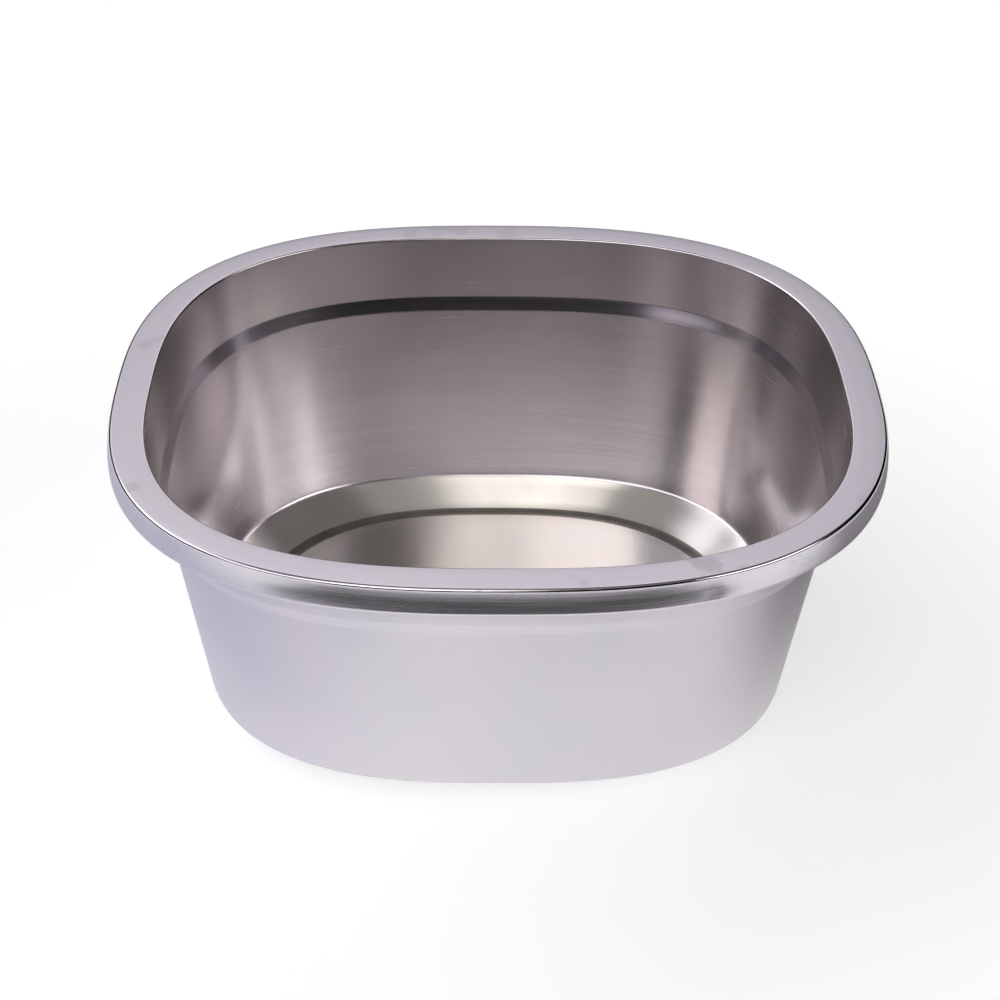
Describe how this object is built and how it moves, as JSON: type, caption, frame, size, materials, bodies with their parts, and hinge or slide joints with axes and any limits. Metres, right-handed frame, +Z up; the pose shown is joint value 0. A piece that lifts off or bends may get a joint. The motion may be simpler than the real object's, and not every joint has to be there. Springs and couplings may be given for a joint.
{
  "type": "pedicure foot bath bowl",
  "caption": "Rounded-rectangle pressed steel foot bath bowl with a flat flange, turned-down skirt and stepped, tapering walls, for soaking feet.",
  "frame": {"origin": "centre of the flat underside of the base, which is also the bottom centre of the bowl's box", "axes": "+Z up out of the bowl's mouth, +X along the bowl's length, +Y across its width"},
  "size_m": [0.383, 0.333, 0.163],
  "materials": {
    "stainless_steel": "brushed inside and outside, satin flange with polished edges"
  },
  "bodies": {
    "root": {"basin_shell": "stainless_steel"}
  },
  "joints": []
}
